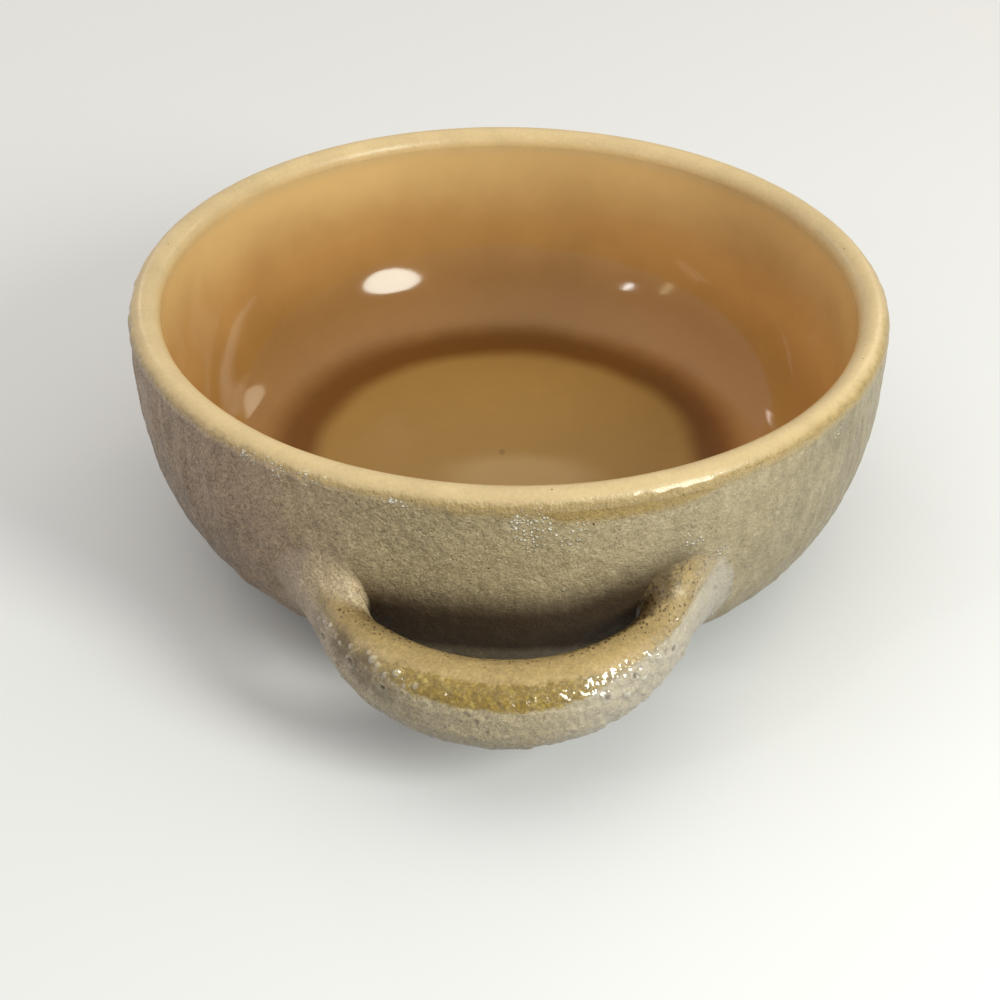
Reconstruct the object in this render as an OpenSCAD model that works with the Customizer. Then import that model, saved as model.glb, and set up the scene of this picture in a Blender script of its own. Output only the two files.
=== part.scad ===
// Lug soup bowl of thrown stoneware: a round bowl on a turned foot, one clay lug joined to its wall,
// and four coats of glaze, each a thin shell that lies face to face with what it covers.
// Sizes are in millimetres. The foot stands on the plane z = 0, the bowl's axis is Z,
// and the lug points towards -Y.

/* [Bowl] */
// Diameter across the outside of the rim, over the glaze
rim_d = 140; // [120:1:170]
// Height from the table to the top of the rim
bowl_h = 51; // [46:1:60]
// Thickness of the round lip, over the glaze
lip_t = 5.6; // [4.6:0.1:7]
// How far below the rim the wall starts to curve in
lip_drop = 7.3; // [5:0.1:10]
// Exponent of the belly's curve, where 2 is an ellipse and more is squarer
belly_fullness = 2.45; // [2:0.05:3]

/* [Foot] */
// Diameter where the belly meets the foot ring
foot_d = 84; // [72:1:96]
// Height of the foot ring under the belly
foot_h = 2.5; // [1.6:0.1:4]
// Width of the flat that the bowl stands on
foot_w = 4.5; // [3:0.1:8]
// How much narrower in radius the ring is at the table than at the belly
foot_taper = 1; // [0.4:0.1:2]
// Depth of the turned hollow inside the foot ring
foot_recess = 3.4; // [2:0.1:5]

/* [Well] */
// Diameter of the level part of the floor
floor_d = 80; // [64:1:92]
// Thickness of the floor, with its glaze
floor_t = 7; // [5.5:0.1:9]
// Exponent of the curve from the floor up the inner wall
well_fullness = 2.5; // [2.1:0.05:3]

/* [Glaze] */
// Thickness of every coat of glaze
glaze_t = 0.4; // [0.25:0.05:0.7]

/* [Lug] */
// How far the lug stands out past the rim
lug_reach = 18.8; // [14:0.1:26]
// Distance between the middles of the lug's two ends
lug_span = 62.6; // [54:0.1:74]
// Width of the lug at its crown, seen from above
lug_w = 12.2; // [9:0.1:14]
// Height of the lug's section at its crown
lug_h = 13.8; // [10:0.1:16]
// Width to which each arm draws in towards the wall
arm_w = 5.4; // [4.4:0.1:9]
// Height to which each arm draws in towards the wall
arm_h = 10.4; // [8.4:0.1:15]
// Height of the middle of the crown above the table
lug_z = 20; // [16:0.5:26]
// Height of the middle of the two ends above the table
lug_root_z = 23.2; // [19:0.1:28]
// How far the clay of each root spreads round the arm where it meets the wall
root_spread = 5.5; // [3:0.1:7]
// How far out from the wall each root starts to spread
root_rise = 7.5; // [5:0.1:9]
// Exponent of the lug's section, where 2 is an ellipse and more is squarer
lug_squareness = 2.6; // [2:0.1:4]
// Exponent of the root's flare, where more keeps it closer to the wall
root_softness = 2.5; // [2:0.1:3]

/* [Hidden] */
$fn = 96;

// Bowl, worked out from the sizes above
rim_r = rim_d/2;
lip_r = lip_t/2;
lip_z = bowl_h - lip_r;
turn_z = bowl_h - lip_drop;
foot_r = foot_d/2;
floor_r = floor_d/2;
floor_z = foot_recess + floor_t;
well_r = rim_r - lip_t;
foot_out_r = foot_r - foot_taper;
foot_in_r = foot_out_r - foot_w;
foot_edge_share = 0.2;
foot_edge = foot_edge_share*foot_w;
recess_edge = foot_edge_share*foot_recess;

// Lug, worked out from the sizes above
root_bury = 9.5;
end_bury = 2;
lug_x = lug_span/2;
root_r = wall_r(lug_root_z, 0);
end_y = sqrt(root_r*root_r - lug_x*lug_x) - root_bury;
crown_y = rim_r + lug_reach - lug_w/2;
lug_deep = crown_y - end_y;

// How finely the curves are divided
belly_steps = 22;
lip_steps = 9;
well_steps = 20;
crown_steps = 12;
arm_steps = 24;
section_sides = 20;
crown_angle = 30;
arm_angle = 78;
end_angle = 90;
overrun = 1;

// Colours
clay = [0.72, 0.62, 0.48];
amber = [0.72, 0.47, 0.20];
cream = [0.84, 0.74, 0.50];
grey_green = [0.58, 0.55, 0.45];
ochre_grey = [0.70, 0.62, 0.42];

// Outer radius of the wall at a height, set in from the glazed surface
function wall_r(z, inset) =
    z >= turn_z ? rim_r - inset :
    z <= foot_h + inset ? foot_r :
    foot_r + (rim_r - foot_r - inset)
        *pow(1 - pow((turn_z - z)/(turn_z - foot_h - inset), belly_fullness), 1/belly_fullness);

// Points of the belly from the foot up to where the wall stands upright
function belly_line(inset) = [
    for (i = [0:belly_steps])
        let (a = 90*(1 - i/belly_steps))
        [
            foot_r + (rim_r - foot_r - inset)*pow(max(cos(a), 0), 2/belly_fullness),
            turn_z - (turn_z - foot_h - inset)*pow(sin(a), 2/belly_fullness)
        ]
];

// Points over the round lip from the outside to the inside
function lip_line(inset) = [
    for (i = [0:lip_steps])
        let (a = 180*i/lip_steps)
        [rim_r - lip_r + (lip_r - inset)*cos(a), lip_z + (lip_r - inset)*sin(a)]
];

// Points down the inner wall from under the lip to the edge of the floor
function well_line(inset) = [
    for (i = [0:well_steps])
        let (a = 90*i/well_steps)
        [
            floor_r + (well_r - floor_r + inset)*pow(max(cos(a), 0), 2/well_fullness),
            turn_z - (turn_z - floor_z + inset)*pow(sin(a), 2/well_fullness)
        ]
];

// A list of points in the opposite order
function backwards(points) = [for (i = [len(points) - 1:-1:0]) points[i]];

// The wall with its inside filled, used to cut what joins the wall
module wall_envelope(inset) {
    rotate_extrude()
        polygon(concat(
            [[0, foot_h + inset]],
            belly_line(inset),
            [[rim_r - inset, bowl_h + overrun], [0, bowl_h + overrun]]
        ));
}

// Thrown wall, floor and turned foot ring, in bare clay under the glaze
module bowl_body() {
    color(clay)
        rotate_extrude()
            polygon(concat(
                [
                    [0, foot_recess],
                    [foot_in_r - recess_edge, foot_recess],
                    [foot_in_r, foot_recess - recess_edge],
                    [foot_in_r, foot_edge],
                    [foot_in_r + foot_edge, 0],
                    [foot_out_r - foot_edge, 0],
                    [foot_out_r, foot_edge]
                ],
                belly_line(glaze_t),
                lip_line(glaze_t),
                well_line(glaze_t),
                [[0, floor_z - glaze_t]]
            ));
}

// Amber coat over the well's wall and floor
module interior_glaze() {
    color(amber)
        rotate_extrude()
            polygon(concat(
                [[well_r, lip_z]],
                well_line(0),
                [[0, floor_z], [0, floor_z - glaze_t]],
                backwards(well_line(glaze_t)),
                [[well_r + glaze_t, lip_z]]
            ));
}

// Pale coat over the round lip
module rim_glaze() {
    color(cream)
        rotate_extrude()
            polygon(concat(lip_line(0), backwards(lip_line(glaze_t))));
}

// Grey coat down the outside, which stops where the belly meets the bare foot
module exterior_glaze() {
    color(grey_green)
        difference() {
            rotate_extrude()
                polygon(concat(
                    belly_line(0),
                    [[rim_r, lip_z], [rim_r - glaze_t, lip_z]],
                    backwards(belly_line(glaze_t))
                ));
            lug_sweep(glaze_t, end_bury);
        }
}

// Sign of a number
function side_of(x) = x < 0 ? -1 : 1;

// Value between the lug's crown and its ends
function lug_blend(crown, end, a) = crown + (end - crown)*pow(sin(a), 2);

// Middle of the lug's section at an angle along its plan
function lug_middle(a) = [
    lug_x*sin(a),
    -(end_y + lug_deep*cos(a)),
    lug_blend(lug_z, lug_root_z, a)
];

// Direction out of the loop, level and square to the half ellipse of the lug's plan
function lug_out(a) =
    let (along = [lug_x*cos(a), lug_deep*sin(a)])
    [along[1], -along[0], 0]/norm(along);

// Point of the section, as an offset from its middle
function lug_offset(a, turn, inset) =
    (lug_blend(lug_w, arm_w, a)/2 - inset)*side_of(cos(turn))
        *pow(abs(cos(turn)), 2/lug_squareness)*lug_out(a)
    + [0, 0, (lug_blend(lug_h, arm_h, a)/2 - inset)*side_of(sin(turn))
        *pow(abs(sin(turn)), 2/lug_squareness)];

// Point of the lug's surface, pushed outwards where it comes near the wall
function lug_surface(a, turn, inset) =
    let (
        offset = lug_offset(a, turn, inset),
        point = lug_middle(a) + offset,
        gap = norm([point[0], point[1]]) - wall_r(point[2], inset),
        near = 1 - min(max(gap/root_rise, 0), 1)
    )
    point + offset/norm(offset)*root_spread*pow(near, root_softness);

// Angles of the rings along the lug, closest together where its roots flare
half_angles = concat(
    [for (i = [1:crown_steps/2]) crown_angle*i/(crown_steps/2)],
    [for (i = [1:arm_steps]) crown_angle + (arm_angle - crown_angle)*i/arm_steps],
    [end_angle]
);
lug_angles = concat([for (a = backwards(half_angles)) -a], [0], half_angles);

// One ring of points round the lug
function lug_ring(a, inset, push) = [
    for (k = [0:section_sides - 1])
        lug_surface(a, 360*k/section_sides, inset) + [0, push, 0]
];

// The lug as one swept solid whose ends run into the wall
module lug_sweep(inset, extra) {
    rings = concat(
        [lug_ring(-end_angle, inset, extra)],
        [for (a = lug_angles) lug_ring(a, inset, 0)],
        [lug_ring(end_angle, inset, extra)]
    );
    last = len(rings) - 1;
    sides = section_sides;
    skin = [
        for (i = [0:last - 1], k = [0:sides - 1])
            let (
                p = i*sides + k,
                q = i*sides + (k + 1)%sides,
                side_faces = [[p, q, p + sides], [q, q + sides, p + sides]]
            )
            each side_faces
    ];
    start_cap = [for (k = [sides - 1:-1:0]) k];
    end_cap = [for (k = [0:sides - 1]) last*sides + k];
    polyhedron([for (ring = rings) each ring], concat(skin, [start_cap, end_cap]));
}

// Pulled clay loop with flared roots, cut to lie face to face on the wall
module lug_handle() {
    color(clay)
        difference() {
            lug_sweep(glaze_t, end_bury);
            wall_envelope(glaze_t);
        }
}

// Coat round the lug, which ends on the wall's own coat
module lug_glaze() {
    color(ochre_grey)
        difference() {
            lug_sweep(0, overrun);
            lug_sweep(glaze_t, end_bury);
            wall_envelope(0);
        }
}

bowl_body();
lug_handle();
interior_glaze();
rim_glaze();
exterior_glaze();
lug_glaze();
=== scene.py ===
"""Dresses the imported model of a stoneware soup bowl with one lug: its clay, four glazes and a plain studio.

Every shape is a numpy surface in metres. The bowl's axis is Z, it stands on z = 0 and the lug points to -Y.
"""

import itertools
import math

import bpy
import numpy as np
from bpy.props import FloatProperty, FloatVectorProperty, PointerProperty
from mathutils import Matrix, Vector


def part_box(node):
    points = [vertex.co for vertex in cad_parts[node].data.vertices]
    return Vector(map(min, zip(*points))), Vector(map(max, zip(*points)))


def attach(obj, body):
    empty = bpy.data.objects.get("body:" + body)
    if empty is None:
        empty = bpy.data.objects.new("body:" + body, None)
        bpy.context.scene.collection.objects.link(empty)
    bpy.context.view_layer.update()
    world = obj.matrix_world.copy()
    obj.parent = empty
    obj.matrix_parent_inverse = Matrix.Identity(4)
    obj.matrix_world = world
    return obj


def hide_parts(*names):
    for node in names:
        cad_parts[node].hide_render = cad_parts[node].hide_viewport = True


bl_info = {
    "name": "Lug Soup Bowl",
    "version": (1, 0, 0),
    "blender": (4, 5, 0),
    "location": "3D View > Sidebar > Soup Bowl",
    "description": "Makes the clay, the glazes and the studio of a stoneware soup bowl with one lug",
    "category": "Object",
}

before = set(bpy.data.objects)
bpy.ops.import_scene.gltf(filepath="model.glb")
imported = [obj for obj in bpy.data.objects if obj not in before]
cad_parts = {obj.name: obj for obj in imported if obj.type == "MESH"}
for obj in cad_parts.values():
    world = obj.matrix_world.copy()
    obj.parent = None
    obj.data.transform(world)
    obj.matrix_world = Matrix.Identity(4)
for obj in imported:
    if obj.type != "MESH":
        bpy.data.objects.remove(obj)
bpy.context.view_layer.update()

MM = 0.001

# Bursts of small blisters on the outer wall: azimuth from the lug in degrees, height and radius in
# millimetres, and the radius of a painted highlight in the middle, a pale wet-looking patch
BLISTERS = (
    (4.0, 45.2, 5.6, 0.0), (8.5, 44.0, 4.2, 0.0), (1.6, 46.2, 2.4, 1.8), (-14.6, 48.7, 2.0, 1.0),
    (-13.0, 48.4, 1.4, 1.0), (-27, 49.4, 3.0, 0.9), (-32, 48.9, 3.4, 1.2), (-37, 48.6, 3.4, 1.0),
    (26, 38.0, 3.2, 1.0), (30, 33.0, 3.6, 1.0), (53, 46.3, 2.0, 0.9), (8, 32.5, 1.8, 0.5),
)

# Single dark pinholes in the outer wall: azimuth from the lug in degrees, height and radius in millimetres
PINHOLES = (
    (-2.0, 37.2, 0.26), (4.2, 38.8, 0.16), (11.5, 38.3, 0.16), (11.5, 45.5, 0.32), (-21.5, 42.5, 0.20),
    (-15.5, 50.3, 0.22), (-12.0, 49.2, 0.28), (21.0, 50.4, 0.22), (-24.0, 50.5, 0.18),
)

# Marks on the lug: plan angle and turn about its section in degrees, radius and height in millimetres.
# A mark with a height below zero is a burst pit with a raised brim, and the others are blisters.
LUG_MARKS = (
    (-57, 2, 0.95, -0.45), (-43, 15, 0.85, -0.45), (-31, 13, 0.6, -0.40), (-51, -12, 0.7, -0.30),
    (-48, 30, 0.5, 0.22), (-60, 22, 0.6, 0.25), (-64, 38, 0.5, 0.22), (-54, 40, 0.5, 0.22),
    (-50, 34, 0.4, 0.20), (-36, 50, 0.85, 0.50), (-34, 44, 0.6, 0.40), (-28, 50, 0.8, 0.45),
    (-22, 41, 0.6, 0.30), (-38, 56, 0.5, 0.30), (-44, 42, 0.45, 0.25), (-31, 36, 0.5, 0.25),
    (-25, 33, 0.45, 0.20), (-57, 30, 0.45, 0.20), (31, 38, 0.8, 0.30), (36, 25, 0.7, -0.25),
    (27, 15, 0.8, -0.22), (45, 30, 0.8, 0.30), (52, 12, 0.7, -0.25), (24, 28, 0.7, 0.28),
    (39, 12, 0.7, 0.28), (33, 5, 0.8, 0.25), (48, 16, 0.6, 0.25), (42, 40, 0.6, 0.30),
)

# Brown stains on the lug, the large ones on its left outer face partly painted shade: plan angle and turn in
# degrees, radius in millimetres and share of the brown
LUG_STAINS_AND_SHADE = (
    (-48, 24, 5.4, 1.0), (-39, 18, 5.4, 0.95), (-60, 10, 4.8, 0.65), (-31, 12, 4.8, 0.75),
    (-24, 2, 4.0, 0.40), (23, 116, 1.0, 0.9), (20, 114, 0.8, 0.8), (16, 110, 0.6, 0.8),
    (11, 108, 0.6, 0.7), (8, 104, 0.45, 0.9), (-5, 94, 0.4, 0.9), (-3, 84, 0.3, 0.9),
)

# Where one look of the glaze changes into the next, from the start of the change to its end.
# In the well by height: deep amber to amber, amber to thin amber, thin amber to the rim's cream
DEEP_AMBER = (17 * MM, 33 * MM)
THIN_AMBER = (29 * MM, 46 * MM)
INNER_CREAM = (45.2 * MM, 50.2 * MM)

# In the well by radius: the floor to the pool and the pool to the wall, about a middle behind the axis
POOL_INNER = (35 * MM, 41 * MM)
POOL_OUTER = (43.5 * MM, 50.5 * MM)
POOL_SHIFT = 2.5 * MM

# On the outside by x: khaki to taupe on the left, khaki to grey on the right, and the lug's right arm
TAUPE_SIDE = (-14 * MM, -50 * MM)
GREY_SIDE = (2 * MM, 26 * MM)
LUG_RIGHT = (4 * MM, 20 * MM)

# On the outside by height: grey to ochre and ochre to cream
OCHRE_LINE = (46.9 * MM, 48.9 * MM)
CREAM_LINE = (48.9 * MM, 50.3 * MM)

# The painted shade behind the lug, a dark brown where the lug's shadow falls on the wall: its top and bottom
# by height, and its sides by distance from the middle
PAINTED_SHADE_TOP = (35.5 * MM, 25 * MM)
PAINTED_SHADE_BOTTOM = (14 * MM, 18 * MM)
PAINTED_SHADE_SIDES = (35 * MM, 28 * MM)

# Refractive indices: of the clear top layer, high enough for bright glints, and of the dull grey under it
WET_INDEX = 2.4
DULL_INDEX = 1.4

# How many columns a spun surface has round the bowl, and how sharp an edge has to be to stay crisp
CLAY_COLUMNS = 360
COAT_COLUMNS = 720
CRISP_ANGLE = math.radians(50)

# Odd factors that scatter the three numbers of a cell and a seed, and that mix what comes of them
CELL_FACTORS = (73856093, 19349663, 83492791)
SEED_FACTOR = 26544357
MIX_FACTORS = (np.uint64(0x5BD1E995), np.uint64(0x27D4EB2D))

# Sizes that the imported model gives
RIM_RADIUS = round(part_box("rim_glaze")[1].x, 4)
BOWL_HEIGHT = round(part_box("rim_glaze")[1].z, 4)
LUG_REACH = round(-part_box("lug_glaze")[0].y - RIM_RADIUS, 4)


def length(name, description, default):
    """A size in metres that the sidebar shows in the scene's own unit."""
    return FloatProperty(
        name=name, description=description, default=default,
        min=0.0, soft_max=200 * MM, precision=5, unit="LENGTH",
    )


def exponent(name, description, default):
    """The exponent of a superellipse, where 2 is an ellipse and more is squarer."""
    return FloatProperty(name=name, description=description, default=default, min=1.5, soft_max=5.0)


def colour(name, description, default):
    """A linear colour of three channels."""
    return FloatVectorProperty(
        name=name, description=description, default=default, size=3, min=0.0, max=1.0, subtype="COLOR"
    )


class BowlSizes(bpy.types.PropertyGroup):
    """Sizes of the thrown bowl, over its glaze."""

    rim_radius: length("Rim radius", "Radius across the outside of the rim", RIM_RADIUS)
    height: length("Height", "Height from the table to the top of the rim", BOWL_HEIGHT)
    lip_thickness: length("Lip thickness", "Thickness of the round lip", 5.6 * MM)
    lip_drop: length("Lip drop", "How far below the rim the wall starts to curve in", 7.3 * MM)
    belly_fullness: exponent("Belly fullness", "Exponent of the outer wall's curve", 2.45)
    foot_radius: length("Foot radius", "Radius where the belly meets the foot ring", 42 * MM)
    foot_height: length("Foot height", "Height of the bare foot ring", 2.5 * MM)
    foot_flat: length("Foot flat", "Width of the ring that the bowl stands on", 4.5 * MM)
    foot_taper: length("Foot taper", "How much narrower the ring is at the table", 1 * MM)
    foot_recess: length("Foot recess", "Depth of the turned hollow under the bowl", 3.4 * MM)
    floor_radius: length("Floor radius", "Radius of the level part of the floor", 40 * MM)
    floor_thickness: length("Floor thickness", "Thickness of the floor with its glaze", 7 * MM)
    well_fullness: exponent("Well fullness", "Exponent of the inner wall's curve", 2.5)
    glaze: length("Glaze thickness", "Thickness of every coat of glaze", 0.4 * MM)


class LugSizes(bpy.types.PropertyGroup):
    """Sizes of the lug, over its glaze."""

    reach: length("Reach", "How far the lug stands out past the rim", LUG_REACH)
    span: length("Span", "Distance between the middles of the lug's two ends", 62.6 * MM)
    bury: length("Bury", "How far the lug's middle line runs into the wall", 9.5 * MM)
    crown_width: length("Crown width", "Width of the lug at its crown, seen from above", 12.2 * MM)
    crown_height: length("Crown height", "Height of the lug's section at its crown", 13.8 * MM)
    arm_width: length("Arm width", "Width to which each arm draws in", 5.4 * MM)
    arm_height: length("Arm height", "Height to which each arm draws in", 10.4 * MM)
    crown_level: length("Crown level", "Height of the crown's middle above the table", 20 * MM)
    root_level: length("Root level", "Height of the two ends' middle above the table", 23.2 * MM)
    root_spread: length("Root spread", "How far each root spreads over the wall", 6.8 * MM)
    root_rise: length("Root rise", "How far out from the wall each root starts to spread", 7.5 * MM)
    squareness: exponent("Squareness", "Exponent of the lug's section", 2.6)


class GlazeColours(bpy.types.PropertyGroup):
    """Colours of the glazes and the clay."""

    amber_thin: colour("Thin amber", "Amber glaze where it is thin, under the lip", (0.80, 0.545, 0.24))
    amber: colour("Amber", "Amber glaze half-way down the inner wall", (0.52, 0.285, 0.10))
    amber_deep: colour("Deep amber", "Amber glaze low on the inner wall", (0.31, 0.150, 0.038))
    amber_floor: colour("Floor amber", "Olive amber glaze on the floor", (0.345, 0.195, 0.050))
    milky: colour("Milky amber", "Milky spot on the floor", (0.46, 0.30, 0.13))
    pool: colour("Pooled glaze", "Brown glaze that pooled round the floor", (0.150, 0.052, 0.002))
    cream: colour("Cream", "Pale glaze on the rim", (0.655, 0.495, 0.265))
    lug_cream: colour("Lug cream", "Yellower pale glaze on the lug", (0.47, 0.34, 0.150))
    ochre: colour("Ochre", "Ochre glaze where cream runs into grey", (0.44, 0.30, 0.10))
    olive: colour("Olive", "Olive ochre glaze at the lug's crown", (0.35, 0.225, 0.024))
    gold: colour("Gold", "Gold flecks in the olive glaze", (0.53, 0.395, 0.12))
    seam: colour("Seams", "Dark seams between the bubbles of the olive glaze", (0.15, 0.095, 0.015))
    khaki: colour("Khaki", "Grey-green glaze on the front of the outside", (0.47, 0.385, 0.235))
    grey: colour("Grey", "Pale grey glaze to the right of the lug", (0.525, 0.435, 0.275))
    lug_grey: colour("Lug grey", "Paler grey glaze on the right of the lug", (0.56, 0.50, 0.41))
    taupe: colour("Taupe", "Browner grey glaze to the left of the lug", (0.475, 0.340, 0.240))
    bloom: colour("Bloom", "Pale flecks in the grey glaze", (0.62, 0.56, 0.44))
    # Painted glint: the near-white that the blisters' colour turns to, standing in for their highlights
    painted_glint: colour("Glassy blisters", "Small glassy blisters on the outer wall", (1.0, 0.93, 0.74))
    # Partly painted glint: pale caps on the lug's blisters that also stand in for their highlights
    froth_and_glint: colour("Froth", "Pale blisters on the lug", (0.85, 0.80, 0.68))
    # Partly painted shade: the brown of real stains, also used to darken the lug's left outer face, which is
    # turned from the light
    stain_and_shade: colour("Stains", "Brown stains on the lug", (0.18, 0.12, 0.048))
    # Painted shade: a dark brown that stands in for the lug's shadow on the wall behind it and at its roots
    painted_crook_shade: colour("Crook", "Thick brown glaze between the lug and the wall", (0.04, 0.018, 0.004))
    iron: colour("Iron specks", "Dark specks and pinholes", (0.08, 0.045, 0.02))
    clay: colour("Clay", "Bare fired clay of the foot", (0.60, 0.47, 0.32))


class StudioSettings(bpy.types.PropertyGroup):
    """Light levels of the studio."""

    window: FloatProperty(
        name="Window", description="Power of the soft main lamp", default=2.2, min=0.0, unit="POWER"
    )
    room: FloatProperty(name="Room", description="Brightness of the room", default=0.50, min=0.0)


def smooth(low, high, value):
    """Rises from 0 at low to 1 at high along a soft S: 3t^2 - 2t^3."""
    share = np.clip((value - low) / (high - low), 0, 1)
    return share * share * (3 - 2 * share)


def bell(value, middle, width):
    """A soft hump of height 1 about the middle: exp(-((value - middle) / width)^2)."""
    return np.exp(-(((value - middle) / width) ** 2))


def dome(distance, radius=1.0):
    """A round cap of height 1 in a circle: 1 - (distance / radius)^2, and 0 outside it."""
    return np.clip(1 - (distance / radius) ** 2, 0, 1)


def even_steps(line, count):
    """Spreads count points evenly along a line of points, by its running length."""
    steps = np.linalg.norm(np.diff(line, axis=0), axis=1)
    run = np.concatenate([[0], np.cumsum(steps)])
    wanted = np.linspace(0, run[-1], count)
    return np.stack([np.interp(wanted, run, line[:, k]) for k in range(line.shape[1])], axis=1)


def hashed(cells, seed):
    """A fixed value from 0 to 1 for each whole-number cell, from odd factors, shifts and exclusive ors."""
    x, y, z = (cells[..., k] * CELL_FACTORS[k] for k in range(3))
    mixed = (x ^ y ^ z ^ seed * SEED_FACTOR).astype(np.uint64)
    mixed = (mixed ^ (mixed >> np.uint64(13))) * MIX_FACTORS[0]
    mixed = (mixed ^ (mixed >> np.uint64(15))) * MIX_FACTORS[1]
    return (mixed >> np.uint64(8) & np.uint64(0xFFFF)).astype(float) / 0xFFFF


def ripple(points, size, seed=0):
    """Smooth bumps from -1 to 1, about size apart: hashed values at a lattice's corners, blended softly."""
    scaled = points / size
    cells = np.floor(scaled).astype(np.int64)
    inside = scaled - cells
    inside = inside * inside * (3 - 2 * inside)
    total = np.zeros(points.shape[:-1])
    for corner in itertools.product((0, 1), repeat=3):
        weight = np.prod(np.where(corner, inside, 1 - inside), axis=-1)
        total += weight * hashed(cells + corner, seed)
    return 2 * total - 1


def nearest_dot(points, size, seed=0):
    """Distance in cells to the nearest dot, scattered one to a cell of a lattice, and that dot's share."""
    scaled = points / size
    cells = np.floor(scaled).astype(np.int64)
    nearest = np.full(points.shape[:-1], 9.0)
    share = np.zeros(points.shape[:-1])
    for step in itertools.product((-1, 0, 1), repeat=3):
        cell = cells + step
        jitter = np.stack([hashed(cell, seed + k) for k in (1, 2, 3)], axis=-1)
        distance = np.linalg.norm(cell + jitter - scaled, axis=-1)
        closer = distance < nearest
        nearest = np.where(closer, distance, nearest)
        share = np.where(closer, hashed(cell, seed + 4), share)
    return nearest, share


def bowl_curve(low, high, fullness, count=400):
    """Quarter of a superellipse in (radius, height), level at its low end and upright at its high end.

    radius = low + span * cos(a)^(2/n) and height = high - span * sin(a)^(2/n), with a from 90 degrees to 0.
    """
    angle = np.linspace(np.pi / 2, 0, count)
    radius = low[0] + (high[0] - low[0]) * np.cos(angle).clip(0) ** (2 / fullness)
    height = high[1] - (high[1] - low[1]) * np.sin(angle) ** (2 / fullness)
    return np.stack([radius, height], axis=1)


def round_corner(corner, before, after, radius, count=8):
    """Arc in place of a corner, as a quadratic curve between the points radius away along both sides."""
    corner, before, after = (np.array(point, float) for point in (corner, before, after))
    start = corner + (before - corner) / np.linalg.norm(before - corner) * radius
    end = corner + (after - corner) / np.linalg.norm(after - corner) * radius
    t = np.linspace(0, 1, count)[:, None]
    return (1 - t) ** 2 * start + 2 * t * (1 - t) * corner + t * t * end


class Outline:
    """The bowl's outline in (radius, height), worked out from its sizes.

    The inset is how far a line lies under the glaze's surface.
    """

    def __init__(self, bowl):
        self.bowl = bowl
        self.lip_radius = bowl.lip_thickness / 2
        self.lip_middle = bowl.rim_radius - self.lip_radius
        self.lip_height = bowl.height - self.lip_radius
        self.turn_height = bowl.height - bowl.lip_drop
        self.well_radius = bowl.rim_radius - bowl.lip_thickness
        self.floor_height = bowl.foot_recess + bowl.floor_thickness

    def wall_radius(self, height, inset=0.0):
        """Outer radius at a height: foot + span * (1 - u^n)^(1/n), as u falls from 1 at the foot to 0."""
        bowl = self.bowl
        drop = (self.turn_height - height) / (self.turn_height - bowl.foot_height - inset)
        reach = (1 - drop.clip(0, 1) ** bowl.belly_fullness) ** (1 / bowl.belly_fullness)
        return bowl.foot_radius + (bowl.rim_radius - bowl.foot_radius - inset) * reach

    def outside(self, inset):
        """Up the belly from the foot ring to the lip."""
        bowl = self.bowl
        low = (bowl.foot_radius, bowl.foot_height + inset)
        high = (bowl.rim_radius - inset, self.turn_height)
        return np.concatenate([bowl_curve(low, high, bowl.belly_fullness), [[high[0], self.lip_height]]])

    def lip(self, inset, count=80):
        """Half a circle over the lip, from the outside to the inside."""
        angle = np.linspace(0, np.pi, count)
        arc = np.stack([np.cos(angle), np.sin(angle)], axis=1)
        return (self.lip_middle, self.lip_height) + (self.lip_radius - inset) * arc

    def inside(self, inset):
        """Down the well from the lip and over the floor to the axis."""
        bowl = self.bowl
        low = (bowl.floor_radius, self.floor_height - inset)
        high = (self.well_radius + inset, self.turn_height)
        curve = bowl_curve(low, high, bowl.well_fullness)[::-1]
        return np.concatenate([[[high[0], self.lip_height]], curve, [[0, low[1]]]])

    def foot(self):
        """Out from the axis under the bowl, over the foot ring and its rounded edges, to the belly."""
        bowl = self.bowl
        outer = bowl.foot_radius - bowl.foot_taper
        inner = outer - bowl.foot_flat
        edge = bowl.foot_flat * 0.3
        marks = [
            (0, bowl.foot_recess), (inner, bowl.foot_recess), (inner, 0), (outer, 0),
            (bowl.foot_radius, bowl.foot_height + bowl.glaze),
        ]
        arcs = [round_corner(marks[k], marks[k - 1], marks[k + 1], edge) for k in (1, 2, 3)]
        return np.concatenate([[marks[0]], *arcs, [marks[4]]])


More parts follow.
